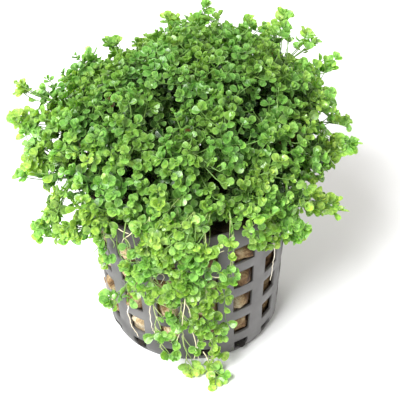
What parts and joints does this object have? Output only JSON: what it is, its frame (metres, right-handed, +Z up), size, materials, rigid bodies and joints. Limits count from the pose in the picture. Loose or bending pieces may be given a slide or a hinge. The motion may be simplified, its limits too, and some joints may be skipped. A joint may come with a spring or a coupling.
{
  "type": "dwarf baby tears in a net pot",
  "caption": "Bushy mound of tiny round leaves rooted in mineral wool in a slotted net pot, with leafy stems trailing down the front to the surface it stands on.",
  "frame": {"origin": "centre of the net pot's underside, which rests on z = 0", "axes": "+Z up along the pot's axis; -Y to the front, where the stems trail over the pot; +X to the right seen from the front"},
  "size_m": [0.0809, 0.0719, 0.0773],
  "materials": {
    "pot_plastic": "moulded dark grey plastic with a soft shine",
    "wool_fibre": "damp tan mineral wool fibre",
    "leaf_green": "fresh green leaf with a soft shine",
    "root_cream": "pale living root"
  },
  "bodies": {
    "root": {"net_pot": "pot_plastic", "mineral_wool": "wool_fibre", "outer_clump_1": "leaf_green", "outer_clump_2": "leaf_green", "outer_clump_3": "leaf_green", "outer_clump_4": "leaf_green", "outer_clump_5": "leaf_green", "outer_clump_6": "leaf_green", "outer_clump_7": "leaf_green", "outer_clump_8": "leaf_green", "upper_clump_1": "leaf_green", "upper_clump_2": "leaf_green", "upper_clump_3": "leaf_green", "upper_clump_4": "leaf_green", "upper_clump_5": "leaf_green", "crown_clump": "leaf_green", "trailing_stem_1": "leaf_green", "trailing_stem_2": "leaf_green", "trailing_stem_3": "leaf_green", "trailing_stem_4": "leaf_green", "trailing_stem_5": "leaf_green", "trailing_stem_6": "leaf_green", "trailing_stem_7": "leaf_green", "root_1": "root_cream", "root_2": "root_cream", "root_3": "root_cream", "root_4": "root_cream"}
  },
  "joints": []
}
